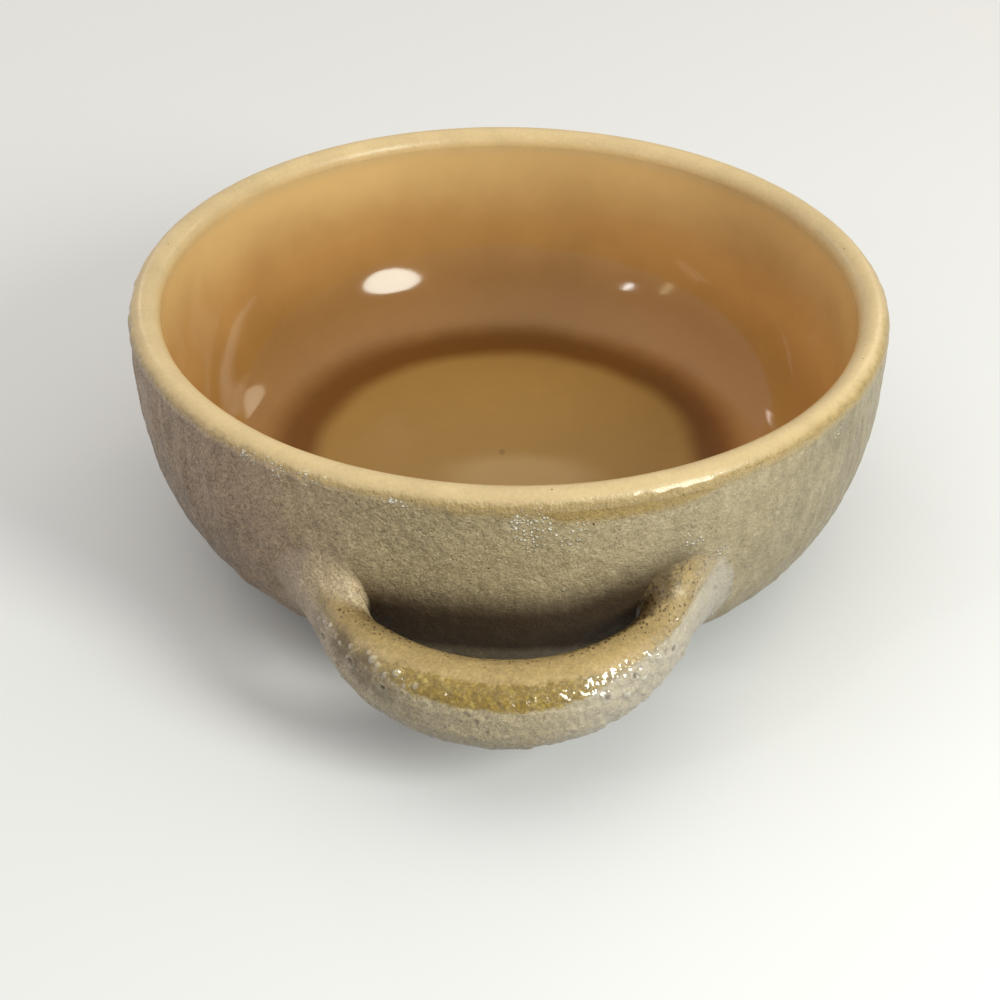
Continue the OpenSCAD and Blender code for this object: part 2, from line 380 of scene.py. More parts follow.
class Lug:
    """The lug's shape: a superellipse swept along half an ellipse, with roots that spread over the wall."""

    def __init__(self, lug, outline):
        self.lug = lug
        self.outline = outline
        self.half_span = lug.span / 2
        root_radius = outline.wall_radius(np.array(lug.root_level))
        self.end = math.sqrt(root_radius**2 - self.half_span**2) - lug.bury
        self.deep = outline.bowl.rim_radius + lug.reach - lug.crown_width / 2 - self.end

    def plain(self, angle, turn, inset):
        """Point of the plain sweep: the middle line at the angle, plus the section's offset at the turn."""
        lug = self.lug
        share = np.sin(angle) ** 2
        wide = (lug.crown_width + (lug.arm_width - lug.crown_width) * share) / 2 - inset
        high = (lug.crown_height + (lug.arm_height - lug.crown_height) * share) / 2 - inset
        out = wide * np.sign(np.cos(turn)) * np.abs(np.cos(turn)) ** (2 / lug.squareness)
        up = high * np.sign(np.sin(turn)) * np.abs(np.sin(turn)) ** (2 / lug.squareness)
        along = np.stack([self.half_span * np.cos(angle), self.deep * np.sin(angle)])
        along /= np.linalg.norm(along, axis=0)
        x = self.half_span * np.sin(angle) + out * along[1]
        y = -(self.end + self.deep * np.cos(angle)) - out * along[0]
        z = lug.crown_level + (lug.root_level - lug.crown_level) * share + up
        return np.stack([x, y, z], axis=-1)

    def gap(self, points, inset):
        """How far points stand out from the wall, measured level."""
        return np.hypot(points[..., 0], points[..., 1]) - self.outline.wall_radius(points[..., 2], inset)

    def angle_at_gap(self, gap, turn, inset):
        """Plan angle at which the plain sweep comes that near the wall, by halving the range 40 times."""
        near = np.zeros(np.broadcast(gap, turn).shape)
        far = np.full(near.shape, np.pi / 2)
        for _ in range(40):
            half = (near + far) / 2
            outside = self.gap(self.plain(half, turn, inset), inset) > gap
            near = np.where(outside, half, near)
            far = np.where(outside, far, half)
        return near

    def spread(self, points, gap, distance, inset):
        """Moves each ring's points away from its middle over the wall's surface, and keeps their gap."""
        radius = self.outline.bowl.rim_radius
        azimuth = np.arctan2(points[..., 0], -points[..., 1])
        chart = np.stack([azimuth * radius, points[..., 2]], axis=-1)
        away = chart - chart.mean(axis=1, keepdims=True)
        away /= np.linalg.norm(away, axis=-1, keepdims=True)
        chart = chart + away * distance[..., None]
        azimuth = chart[..., 0] / radius
        reach = self.outline.wall_radius(chart[..., 1], inset) + gap
        return np.stack([reach * np.sin(azimuth), -reach * np.cos(azimuth), chart[..., 1]], axis=-1)

    def surface(self, inset, arm_rings, root_rings, sides, tuck):
        """Rings of points round the section, from the left root over the crown to the right root.

        From the crown each side of the section runs to where it comes near the wall. From there its gap
        falls as rise * (1 - sin t) while it spreads by spread * (1 - cos t), a quarter ellipse that ends
        tangent to the wall. The spread is smaller on the inner side, where a finger fits. One more ring is
        tucked in under the wall's surface.
        """
        lug = self.lug
        turn = np.arange(sides) * 2 * np.pi / sides
        start = self.angle_at_gap(lug.root_rise, turn, inset)
        arm = self.plain(start * np.linspace(0, 1, arm_rings)[:, None], turn, inset)
        t = np.linspace(0, np.pi / 2, root_rings + 1)[1:, None]
        gap = lug.root_rise * (1 - np.sin(t)) + 0 * turn
        bare = self.plain(self.angle_at_gap(gap, turn, inset), turn, inset)
        spread = lug.root_spread * (1 - 0.45 * smooth(0.1, -0.9, np.cos(turn)))
        root = self.spread(bare, gap, spread * (1 - np.cos(t)), inset)
        tucked = self.spread(bare[-1:], gap[-1:] - tuck, spread + 0 * gap[-1:], inset)
        right = np.concatenate([arm, root, tucked])
        left = (right * (-1, 1, 1))[:0:-1]
        return np.concatenate([left, right]), turn


def grid_normals(points, inside_out=False):
    """Unit normals of a grid whose columns close: the cross product of its two differences."""
    down = np.gradient(points, axis=0)
    across = np.roll(points, -1, axis=1) - np.roll(points, 1, axis=1)
    normal = np.cross(down, across)
    normal /= np.maximum(np.linalg.norm(normal, axis=-1, keepdims=True), 1e-12)
    return -normal if inside_out else normal


def strip_faces(index, closed):
    """Faces of a grid of vertex numbers whose columns close: quads, or triangles by a row of one point."""
    upper = index if closed else index[:-1]
    lower = np.roll(index, -1, axis=0) if closed else index[1:]
    quads = np.stack([upper, np.roll(upper, -1, axis=1), np.roll(lower, -1, axis=1), lower], axis=-1)
    top_point = (upper == upper[:, :1]).all(axis=1)
    low_point = (lower == lower[:, :1]).all(axis=1)
    plain = quads[~top_point & ~low_point].reshape(-1, 4)
    from_point = quads[top_point & ~low_point][..., [0, 2, 3]].reshape(-1, 3)
    to_point = quads[~top_point & low_point][..., [0, 1, 2]].reshape(-1, 3)
    return plain.tolist() + from_point.tolist() + to_point.tolist()


def new_piece(name, points, closed=True, inside_out=False):
    """Makes a mesh object of a grid of points whose columns close, and whose rows close if closed is true.

    A row on the axis becomes one vertex.
    """
    rows, columns = points.shape[:2]
    index = np.arange(rows * columns).reshape(rows, columns)
    on_axis = np.ptp(points, axis=1).max(axis=-1) < 1e-7
    index[on_axis] = index[on_axis][:, :1]
    used, index = np.unique(index, return_inverse=True)
    index = index.reshape(rows, columns)
    faces = strip_faces(index[:, ::-1] if inside_out else index, closed)
    mesh = bpy.data.meshes.new(name)
    mesh.from_pydata(points.reshape(-1, 3)[used].tolist(), [], faces)
    mesh.shade_smooth()
    mesh.set_sharp_from_angle(angle=CRISP_ANGLE)
    mesh.validate()
    piece = bpy.data.objects.new(name, mesh)
    bpy.context.scene.collection.objects.link(piece)
    return piece, used


def store(piece, used, **values):
    """Keeps numbers worked out for the grid as attributes of the piece's vertices."""
    for name, grid in values.items():
        layer = piece.data.attributes.new(name, "FLOAT", "POINT")
        layer.data.foreach_set("value", grid.reshape(-1)[used].astype(np.float32))


def dress(piece, node, material):
    """Puts a finished piece in place of its node, on the body that carries it, with its finish."""
    piece.data.materials.append(material)
    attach(piece, "root")
    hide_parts(node)


def spin(line, columns):
    """Turns a line of (radius, height) about Z: row k of the grid is the level ring through its point k."""
    angle = np.arange(columns) * 2 * np.pi / columns
    x = line[:, :1] * np.cos(angle)
    y = line[:, :1] * np.sin(angle)
    z = line[:, 1:] + 0 * angle
    return np.stack([x, y, z], axis=-1)


def spun_coat(face, back, relief):
    """A closed coat of glaze: a face line, spun and raised along its normal by the relief, and its back.

    The normal of a line that runs by (dr, dz) is (dz, -dr), which is spun as the line is.
    """
    shown = spin(face, COAT_COLUMNS)
    run = np.gradient(face, axis=0)
    run /= np.linalg.norm(run, axis=1, keepdims=True)
    normal = spin(run[:, ::-1] * (1, -1), COAT_COLUMNS)
    raised = shown + normal * relief(shown)[..., None]
    return np.concatenate([raised, spin(back[::-1], COAT_COLUMNS)])


def outside_relief(points):
    """Height of the grey glaze's skin: lumps, bolder on the left, and orange peel, both calm on the lip."""
    rough = 1 - smooth(48.2 * MM, 50.6 * MM, points[..., 2])
    left = 1 + 0.7 * smooth(-15 * MM, -50 * MM, points[..., 0])
    drawn = points * (1, 1, 0.5)
    lumps = ripple(drawn, 4.2 * MM, seed=11) * 0.13 * MM + ripple(drawn, 2.2 * MM, seed=12) * 0.12 * MM
    peel = ripple(drawn, 1.25 * MM, seed=13) * 0.09 * MM + ripple(points, 0.95 * MM, seed=14) * 0.05 * MM
    return (lumps * left + peel) * (0.10 + 0.90 * rough)


def inside_relief(points):
    """Height of the amber glaze's skin: a slow unevenness and the faint level rings left by the fingers."""
    rings = np.sin(points[..., 2] / (0.9 * MM)) * 0.004 * MM
    return rings + ripple(points, 17 * MM, seed=21) * 0.08 * MM


def lip_relief(points, middle, radius):
    """The outer relief on the outer half of the lip, blended into the inner relief over its top."""
    outward = smooth(middle - radius, middle + radius, np.hypot(points[..., 0], points[..., 1]))
    return outward * outside_relief(points) + (1 - outward) * inside_relief(points)


class Value:
    """A socket whose value varies over a surface, with Python's arithmetic for numbers."""

    def __init__(self, graph, socket):
        self.graph = graph
        self.socket = socket

    def _maths(self, operation, first, second):
        return self.graph.add("ShaderNodeMath", {"operation": operation}, {0: first, 1: second})

    def __add__(self, other):
        return self._maths("ADD", self, other)

    def __sub__(self, other):
        return self._maths("SUBTRACT", self, other)

    def __rsub__(self, other):
        return self._maths("SUBTRACT", other, self)

    def __mul__(self, other):
        return self._maths("MULTIPLY", self, other)

    def __pow__(self, other):
        return self._maths("POWER", self, other)

    def __abs__(self):
        return self._maths("ABSOLUTE", self, 0.0)

    __radd__ = __add__
    __rmul__ = __mul__


class Graph:
    """The node tree of a material, a lamp or the world, with one method that adds any node."""

    def __init__(self, owner):
        self.owner = owner
        owner.use_nodes = True
        self.tree = owner.node_tree
        self.tree.nodes.clear()

    def add(self, kind, settings=None, sockets=None, output=0):
        """Adds a node, makes its settings, fills its sockets with numbers or links, returns one output."""
        node = self.tree.nodes.new(kind)
        for key, value in (settings or {}).items():
            setattr(node, key, value)
        for key, value in (sockets or {}).items():
            if isinstance(value, Value):
                self.tree.links.new(value.socket, node.inputs[key])
            elif value is not None:
                node.inputs[key].default_value = value
        return Value(self, node.outputs[output]) if len(node.outputs) else node

    def place(self):
        """Where a point of the surface is, in metres."""
        return self.add("ShaderNodeTexCoord", output="Object")

    def stored(self, name):
        """A number kept on the mesh's points."""
        return self.add("ShaderNodeAttribute", {"attribute_name": name}, output="Fac")

    def parts(self, vector):
        """The three numbers of a vector."""
        node = self.add("ShaderNodeSeparateXYZ", sockets={0: vector}).socket.node
        return [Value(self, output) for output in node.outputs]

    def stretched(self, vector, factors):
        """A vector with its parts multiplied, to stretch a pattern the other way."""
        return self.add("ShaderNodeVectorMath", {"operation": "MULTIPLY"}, {0: vector, 1: factors})

    def near(self, vector, spot, radius):
        """Rises softly to 1 within a radius of a spot."""
        settings = {"operation": "DISTANCE"}
        distance = self.add("ShaderNodeVectorMath", settings, {0: vector, 1: spot}, output="Value")
        return self.step(radius, radius * 0.4, distance)

    def noise(self, vector, size, detail=2.0, roughness=0.5, swirl=0.0):
        """Cloudy noise about 0, from roughly -0.5 to 0.5, with clouds of the given size."""
        sockets = {
            "Vector": vector, "Scale": 1 / size, "Detail": detail,
            "Roughness": roughness, "Distortion": swirl,
        }
        return self.add("ShaderNodeTexNoise", sockets=sockets) - 0.5

    def dots(self, vector, size):
        """Distance from the nearest scattered dot, in cells of the given size."""
        return self.add("ShaderNodeTexVoronoi", sockets={"Vector": vector, "Scale": 1 / size})

    def step(self, low, high, value):
        """Rises softly from 0 at low to 1 at high, which may be the lower number."""
        if low > high:
            return 1 - self.step(high, low, value)
        settings = {"interpolation_type": "SMOOTHSTEP"}
        return self.add("ShaderNodeMapRange", settings, {0: value, 1: low, 2: high, 3: 0.0, 4: 1.0})

    def mix(self, share, first, second):
        """Blends two colours, from the first at 0 to the second at 1."""
        ends = [end if isinstance(end, Value) else (*end, 1.0) for end in (first, second)]
        settings = {"data_type": "RGBA", "clamp_factor": True}
        return self.add("ShaderNodeMix", settings, {0: share, 6: ends[0], 7: ends[1]}, output=2)

    def tint(self, colour, amount):
        """Makes a colour lighter or darker by a varying amount about 0."""
        lit = self.add("ShaderNodeCombineXYZ", sockets={0: 1 + amount, 1: 1 + amount, 2: 1 + amount})
        plain = colour if isinstance(colour, Value) else tuple(colour)
        return self.add("ShaderNodeVectorMath", {"operation": "MULTIPLY"}, {0: plain, 1: lit})

    def finish(
        self, base, roughness, bump, depth, coat=0.0, coat_roughness=0.05, coat_index=1.5, index=1.5
    ):
        """Ends the tree in a surface under a clear coat, with a skin raised by the bump times the depth."""
        normal = self.add("ShaderNodeBump", sockets={"Strength": 1.0, "Distance": depth, "Height": bump})
        sockets = {
            "Base Color": base, "Roughness": roughness, "IOR": index, "Normal": normal,
            "Coat Weight": coat, "Coat Roughness": coat_roughness, "Coat IOR": coat_index,
        }
        surface = self.add("ShaderNodeBsdfPrincipled", sockets=sockets)
        self.add("ShaderNodeOutputMaterial", sockets={"Surface": surface})
        return self.owner


def pinholes(graph, place, size, radius):
    """Share of scattered dark dots, one to a cell of the given size: 1 in the middle of a dot."""
    return graph.step(radius / size, radius / size * 0.5, graph.dots(place, size))


def floor_spot(graph, place, outline, squeeze, middle, radius):
    """Share of a soft oval spot on the floor, which is round once x and y are squeezed by two factors."""
    squeezed = graph.stretched(place, (*squeeze, 1.0))
    return graph.near(squeezed, (*middle, outline.floor_height), radius)


def inside_look(graph, place, colours, outline):
    """Colour of the amber glaze: pale under the lip, then deeper, brown in the pool and olive on the floor.

    The pool is a ring that lies a little behind the axis. The wall is paler low on the right, which is
    painted light, and deeper at the back, and the floor has one milky spot and one dark fleck.
    """
    x, y, z = graph.parts(place)
    cloud = graph.noise(place, 22 * MM, 3.0)
    fine = graph.noise(place, 3.5 * MM, 3.0, 0.6)
    shifted = y - POOL_SHIFT
    around = (x * x + shifted * shifted) ** 0.5 + cloud * (4 * MM) + fine * (0.8 * MM)
    height = z + cloud * (7 * MM)
    wall = graph.mix(graph.step(*DEEP_AMBER, height), colours.amber_deep, colours.amber)
    wall = graph.mix(graph.step(*THIN_AMBER, height), wall, colours.amber_thin)
    low = graph.mix(graph.step(*POOL_INNER, around), colours.amber_floor, colours.pool)
    body = graph.mix(graph.step(*POOL_OUTER, around), low, wall)
    milky = floor_spot(graph, place, outline, (0.5, 1.0), (1.5 * MM, -6 * MM), 10 * MM)
    body = graph.mix(milky * 0.75, body, colours.milky)
    fleck = floor_spot(graph, place, outline, (1.0, 0.6), (-1 * MM, 1.5 * MM), 0.9 * MM)
    body = graph.mix(fleck * 0.35, body, colours.iron)
    back = graph.step(34 * MM, 6 * MM, abs(x)) * graph.step(30 * MM, 45 * MM, y)
    # Painted light: the low wall on the right is made paler
    right = graph.step(12 * MM, 42 * MM, x) * graph.step(40 * MM, 26 * MM, z)
    right = right * graph.step(41 * MM, 46 * MM, around)
    body = graph.tint(body, cloud * 0.16 + fine * 0.10 + right * 0.35 - back * 0.10)
    edge = graph.step(*INNER_CREAM, z + fine * (1.5 * MM) + cloud * (2 * MM))
    return graph.mix(edge, body, cream_look(graph, place, colours.cream, colours))


def grey_body(graph, place, colours, cloud, ragged, grain):
    """Colour of the grey glaze: browner left of the lug and greyer right of it, with flecks and grains.
    Painted shade darkens it far to both sides and low on the left, and painted light lightens it just left of
    the lug.
    """
    x, _, z = graph.parts(place)
    streak = graph.noise(graph.stretched(place, (1.0, 1.0, 0.3)), 2.4 * MM, 2.0, 0.6)
    swirl = graph.noise(place, 0.85 * MM, 3.0, 0.65, 1.6)
    wander = x + cloud * (22 * MM)
    grey = graph.mix(graph.step(*TAUPE_SIDE, wander), colours.khaki, colours.taupe)
    grey = graph.mix(graph.step(*GREY_SIDE, wander), grey, colours.grey)
    # Painted shade far to both sides and low on the left, and painted light just left of the lug
    painted_shade_left_low = graph.step(46 * MM, 20 * MM, z) * graph.step(-30 * MM, -54 * MM, x) * 0.26
    painted_shade_far_left = graph.step(-30 * MM, -56 * MM, x) * 0.16
    painted_shade_far_right = graph.step(26 * MM, 66 * MM, x) * 0.30
    painted_light_near_left = graph.step(-10 * MM, -26 * MM, x) * graph.step(-62 * MM, -40 * MM, x) * 0.12
    calm = 1 - graph.step(14 * MM, 48 * MM, x) * 0.5
    bold = 1 + graph.step(0, -24 * MM, x) * 0.45
    streaky = graph.step(8 * MM, 50 * MM, abs(x)) * 0.45 + 0.25
    amount = (swirl * 1.6 + grain) * calm * bold + streak * streaky + cloud * 0.3
    grey = graph.tint(grey, amount - painted_shade_far_right - painted_shade_far_left - painted_shade_left_low + painted_light_near_left)
    grey = graph.mix(graph.step(0.07, 0.22, swirl + streak * 0.4) * 0.40, grey, colours.bloom)
    grey = graph.mix(graph.step(0.13, 0.30, grain + ragged * 0.3) * calm * 0.40, grey, colours.iron)
    return graph.mix(pinholes(graph, place, 9.5 * MM, 0.22 * MM) * 0.8, grey, colours.iron)


def outside_look(graph, place, colours):
    """Colour of the grey glaze with its ochre and cream border, which runs lower right of the lug."""
    x, y, z = graph.parts(place)
    cloud = graph.noise(place, 20 * MM, 2.0)
    ragged = graph.noise(place, 1.7 * MM, 3.0, 0.7)
    grain = graph.noise(place, 0.42 * MM, 2.0, 0.7)
    grey = grey_body(graph, place, colours, cloud, ragged, grain)
    runs = graph.step(4 * MM, 11 * MM, x) * graph.step(36 * MM, 26 * MM, x) * graph.step(0.0, -10 * MM, y)
    edge = z + ragged * (1.3 * MM) + cloud * (1.4 * MM) - graph.step(30 * MM, 42 * MM, x) * (0.6 * MM)
    lower = edge + runs * (1.9 * MM) + graph.step(-6 * MM, -30 * MM, x) * (-0.7 * MM)
    ochre = graph.step(*OCHRE_LINE, lower) * (0.85 + cloud * 0.5)
    run = graph.mix(ochre, grey, graph.tint(colours.ochre, ragged * 0.5 + grain * 0.8))
    return graph.mix(graph.step(*CREAM_LINE, edge), run, cream_look(graph, place, colours.cream, colours))


def cream_look(graph, place, cream, colours):
    """Colour of the cream glaze: faint clouds, yellower blotches and a few dark pinholes."""
    cloud = graph.noise(place, 6 * MM, 3.0)
    fine = graph.noise(place, 0.7 * MM, 2.0, 0.65)
    blotch = graph.step(0.12, 0.30, graph.noise(place, 1.8 * MM, 3.0, 0.6)) * 0.25
    body = graph.mix(blotch, graph.tint(cream, cloud * 0.30 + fine * 0.26), colours.ochre)
    return graph.mix(pinholes(graph, place, 4.2 * MM, 0.20 * MM), body, colours.iron)


def wall_spot(outline, azimuth, height):
    """The point of the outer wall at an azimuth from the lug in degrees and a height in millimetres."""
    reach = float(outline.wall_radius(np.array(height * MM)))
    turned = math.radians(azimuth)
    return reach * math.sin(turned), -reach * math.cos(turned), height * MM


def outside_skin(graph, place):
    """Fine skin of the grey glaze."""
    return graph.noise(place, 0.8 * MM, 3.0, 0.6, 1.0) * 0.9 + graph.noise(place, 1.7 * MM, 2.0) * 1.1


def beads_and_glints(graph, place, outline):
    """Share of small glassy blisters, in bursts under the lip and on the belly, some with a wet patch. The
    share also whitens the colour as painted glints, and the wet patches are painted highlights.
    """
    burst = 0.0
    wet = 0.0
    for azimuth, height, radius, patch in BLISTERS:
        spot = wall_spot(outline, azimuth, height)
        burst = burst + graph.near(place, spot, radius * MM)
        if patch:
            wet = wet + graph.near(place, spot, patch * MM)
    patchy = graph.step(-0.20, 0.0, graph.noise(place, 2.0 * MM, 1.0))
    broken = graph.step(-0.02, 0.14, graph.noise(graph.stretched(place, (0.6, 0.6, 1.2)), 0.5 * MM, 2.0))
    dots = graph.step(0.40, 0.14, graph.dots(place, 0.78 * MM)) * burst * patchy
    return graph.step(0.0, 1.0, dots + wet * broken * 0.75)


def single_pinholes(graph, place, outline):
    """Share of the few single dark pinholes that stand out in the outer wall and the rim."""
    found = 0.0
    for azimuth, height, radius in PINHOLES:
        found = found + graph.near(place, wall_spot(outline, azimuth, height), radius * MM)
    return found


def painted_crook_shade(graph, place):
    """Share of the painted shade on the wall behind the lug, a dark brown where the lug's shadow falls, which
    rises towards the right root.
    """
    x, y, z = graph.parts(place)
    uneven = z + graph.noise(place, 3 * MM, 2.0) * (2 * MM)
    rise = graph.step(6 * MM, 28 * MM, x) * (5.5 * MM)
    height = graph.step(*PAINTED_SHADE_TOP, uneven - rise) * graph.step(*PAINTED_SHADE_BOTTOM, z)
    return height * graph.step(*PAINTED_SHADE_SIDES, abs(x)) * graph.step(-40 * MM, -50 * MM, y)


def amber_material(colours, outline):
    """Glossy amber glaze of the well, rougher on the floor."""
    graph = Graph(bpy.data.materials.new("amber_glaze"))
    place = graph.place()
    height = graph.parts(place)[2]
    base = inside_look(graph, place, colours, outline)
    rough = 0.09 + graph.step(13 * MM, 11 * MM, height) * 0.32
    skin = graph.noise(place, 2.5 * MM, 2.0)
    return graph.finish(base, rough, skin, 0.010 * MM)


def rim_material(colours, outline):
    """Cream glaze over the lip, which runs into the amber inside and the ochre and grey outside."""
    graph = Graph(bpy.data.materials.new("cream_glaze"))
    place = graph.place()
    x, y, z = graph.parts(place)
    radius = (x * x + y * y) ** 0.5
    outward = graph.step(outline.lip_middle - 0.6 * MM, outline.lip_middle + 0.6 * MM, radius)
    inner = inside_look(graph, place, colours, outline)
    base = graph.mix(outward, inner, outside_look(graph, place, colours))
    low = graph.step(50.5 * MM, 49.3 * MM, z) * outward
    # Painted light: the rim is made lighter at the front left and at the back
    painted_light_front_left = graph.step(0, -40 * MM, x) * graph.step(-15 * MM, -45 * MM, y)
    back = graph.step(30 * MM, 60 * MM, y)
    base = graph.tint(base, (painted_light_front_left + back) * 0.10)
    bead_and_glint = beads_and_glints(graph, place, outline) * low
    # Painted glints: the blisters whiten the colour
    base = graph.mix(bead_and_glint, base, colours.painted_glint)
    base = graph.mix(single_pinholes(graph, place, outline), base, colours.iron)
    ribs = graph.noise(graph.stretched(place, (1.0, 1.0, 0.35)), 0.55 * MM, 2.0, 0.6)
    skin = graph.noise(place, 1.0 * MM, 2.0) * 0.35
    skin = skin + (outside_skin(graph, place) + ribs * 1.6) * low + bead_and_glint * 1.5
    gloss = bead_and_glint * 0.7 + 0.012 + low * 0.20
    return graph.finish(base, 0.36, skin, 0.22 * MM, gloss, coat_roughness=0.08, coat_index=WET_INDEX)


def grey_material(colours, outline):
    """Grey-green glaze down the outside, with a fine broken gloss that is stronger right of the lug."""
    graph = Graph(bpy.data.materials.new("grey_glaze"))
    place = graph.place()
    x = graph.parts(place)[0]
    shade = painted_crook_shade(graph, place)
    bead_and_glint = beads_and_glints(graph, place, outline)
    # Painted shade behind the lug: the wall's colour turns to dark brown and loses its gloss
    base = graph.mix(shade * 0.95, outside_look(graph, place, colours), colours.painted_crook_shade)
    # Painted glints: the blisters whiten the colour
    base = graph.mix(bead_and_glint, base, colours.painted_glint)
    base = graph.mix(single_pinholes(graph, place, outline), base, colours.iron)
    rough = 0.42 + graph.noise(place, 5 * MM) * 0.2 + shade * 0.3
    wet = graph.step(8 * MM, 40 * MM, x + graph.noise(place, 12 * MM) * (24 * MM)) * 0.07 + 0.01
    skin = outside_skin(graph, place) + bead_and_glint * 1.1
    gloss = (bead_and_glint + wet) * (1 - shade)
    return graph.finish(
        base, rough, skin, 0.30 * MM, gloss, coat_roughness=0.10, coat_index=WET_INDEX, index=DULL_INDEX
    )


def olive_band(graph, place, colours, ragged, fine):
    """Colour of the olive glaze at the lug's crown: gold flecks among bubbles with dark seams."""
    band = graph.tint(colours.olive, ragged * 1.2 + fine * 1.4)
    band = graph.mix(graph.step(0.0, 0.20, ragged + fine * 0.6) * 0.6, band, colours.gold)
    seams = graph.step(0.25, 0.60, graph.dots(place, 0.9 * MM))
    return graph.mix(seams * 0.4, band, colours.seam)


def speckled_cream(graph, place, colours, amount, crowd):
    """Colour of the lug's cream, lighter or darker by an amount, with more specks where crowd is high."""
    cream = graph.tint(cream_look(graph, place, colours.lug_cream, colours), amount)
    specks = graph.step(0.0, 0.08, crowd - graph.dots(graph.stretched(place, (1.0, 0.7, 0.7)), 0.80 * MM))
    return graph.mix(specks * 0.8, cream, colours.iron)


def painted_root_shade(graph, x, outness, cap, reach, ragged, fine):
    """Share of the painted shade at the roots: dark brown inside the arms, over the right root and in the
    left crease, where shade falls.
    """
    right = graph.step(*LUG_RIGHT, x)
    inside = graph.step(-0.05, -0.55, outness) * graph.step(10 * MM, 4 * MM, reach)
    inside = inside * graph.step(0.75, 0.30, cap - graph.step(0.0, 8 * MM, x))
    over = graph.step(0.35, -0.25, outness + fine * 0.5) * right
    over = over * graph.step(7 * MM, 2 * MM, reach + ragged * (4 * MM))
    crease = graph.step(3.0 * MM, 4.5 * MM, reach) * graph.step(12 * MM, 6 * MM, reach) * (1 - right)
    crease = crease * graph.step(0.25, -0.30, outness + fine * 0.4) * (ragged * 0.8 + 0.7)
    return graph.step(0.0, 1.0, inside + over + crease * 0.75)


def lug_material(colours):
    """Glaze of the lug: cream on top, bubbly olive at the crown's edge and pitted grey on the outer face.

    The mesh keeps how far each point faces out (outness) and up (cap), how far it stands from the wall
    (reach), and its shares of pit, bubble and stain_and_shade: brown stains, on the left outer face partly
    painted shade.
    """
    graph = Graph(bpy.data.materials.new("lug_glaze"))
    place = graph.place()
    x = graph.parts(place)[0]
    names = ("outness", "cap", "reach", "pit", "bubble", "stain_and_shade")
    outness, cap, reach, pit, bubble, stain_and_shade = (graph.stored(name) for name in names)
    ragged = graph.noise(place, 1.6 * MM, 3.0, 0.65)
    cloud = graph.noise(place, 9 * MM, 2.0)
    fine = graph.noise(place, 0.5 * MM, 2.0, 0.7)
    right = graph.step(*LUG_RIGHT, x)
    middle = graph.step(24 * MM, 10 * MM, abs(x + 2 * MM + cloud * (8 * MM)))
    arm = graph.step(15 * MM, 5 * MM, reach)
    root = graph.step(2.5 * MM, 5.5 * MM, reach + ragged * (3 * MM) + right * (4.5 * MM))
    shade = painted_root_shade(graph, x, outness, cap, reach, ragged, fine)

    edge = cap + ragged * 0.32 + cloud * 0.20
    olive_start = 0.44 - middle * 0.32
    cream_start = 0.53 + middle * 0.30
    grey = graph.mix(right * 0.45, outside_look(graph, place, colours), colours.lug_grey)
    olive = graph.step(-0.05, 0.07, edge - olive_start) * (0.45 + middle * 0.55) * root
    face = graph.mix(olive, grey, olive_band(graph, place, colours, ragged, fine))
    # Painted light makes the cream lighter on the right of the top; the arms are darker for their greyer tone
    # and, more on the left, as painted shade
    painted_light_and_arm_tone = right * graph.step(8 * MM, 14 * MM, reach) * 0.22 - arm * (0.26 - right * 0.16)
    crowd = graph.step(0.15, -0.55, outness + cloud * 0.7) * 0.22 + arm * 0.24 + ragged * 0.35 + 0.03
    cream = speckled_cream(graph, place, colours, fine * 0.8 + ragged * 0.6 + painted_light_and_arm_tone, crowd)
    base = graph.mix(graph.step(-0.07, 0.07, edge - cream_start) * root, face, cream)
    # Painted shade at the roots darkens the colour towards dark brown
    base = graph.mix(shade * 0.75, base, colours.painted_crook_shade)
    # Brown stains, on the left outer face partly painted shade
    stained_and_shaded = graph.step(0.0, 1.0, stain_and_shade * (0.75 + fine * 1.2 + ragged * 1.6))
    base = graph.mix(stained_and_shaded, base, colours.stain_and_shade)
    base = graph.mix(pit * 0.8, base, colours.iron)
    # Pale blister caps, partly a painted glint
    base = graph.mix(bubble * 0.12, base, colours.froth_and_glint)

    calm = graph.step(0.70, 0.95, cap)
    outer = graph.step(-0.2, 0.3, outness) * (1 - calm)
    domes = graph.step(0.52, 0.10, graph.dots(graph.stretched(place, (1.0, 1.0, 0.55)), 1.25 * MM)) * outer
    skin = outside_skin(graph, place) * (1 - calm * 0.62) + domes * 0.55 * (0.2 + right)
    gloss = (0.12 + outer * (0.12 + right * 0.30)) * (0.3 + root * 0.7)
    gloss = gloss * (1 - calm * 0.8) * (1 - shade) * (1 - stain_and_shade * 0.5) + bubble * 0.8
    rough = 0.32 + calm * 0.12
    return graph.finish(base, rough, skin, 0.30 * MM, gloss, coat_roughness=0.07, coat_index=WET_INDEX)


def clay_material(colours):
    """Bare fired stoneware: buff, with fine grog and a few iron specks."""
    graph = Graph(bpy.data.materials.new("stoneware"))
    place = graph.place()
    cloud = graph.noise(place, 14 * MM, 3.0)
    grog = graph.noise(place, 0.7 * MM, 3.0, 0.7)
    base = graph.tint(colours.clay, cloud * 0.25 + grog * 0.5)
    base = graph.mix(pinholes(graph, place, 2.2 * MM, 0.28 * MM), base, colours.iron)
    return graph.finish(base, 0.85, grog, 0.15 * MM)


def coat_piece(name, line, glaze, face_rows, back_rows, relief):
    """Makes the piece of a spun coat, whose face and back follow one line of the outline, a glaze apart."""
    face = even_steps(line(0.0), face_rows)
    back = even_steps(line(glaze), back_rows)
    return new_piece(name, spun_coat(face, back, relief))[0]


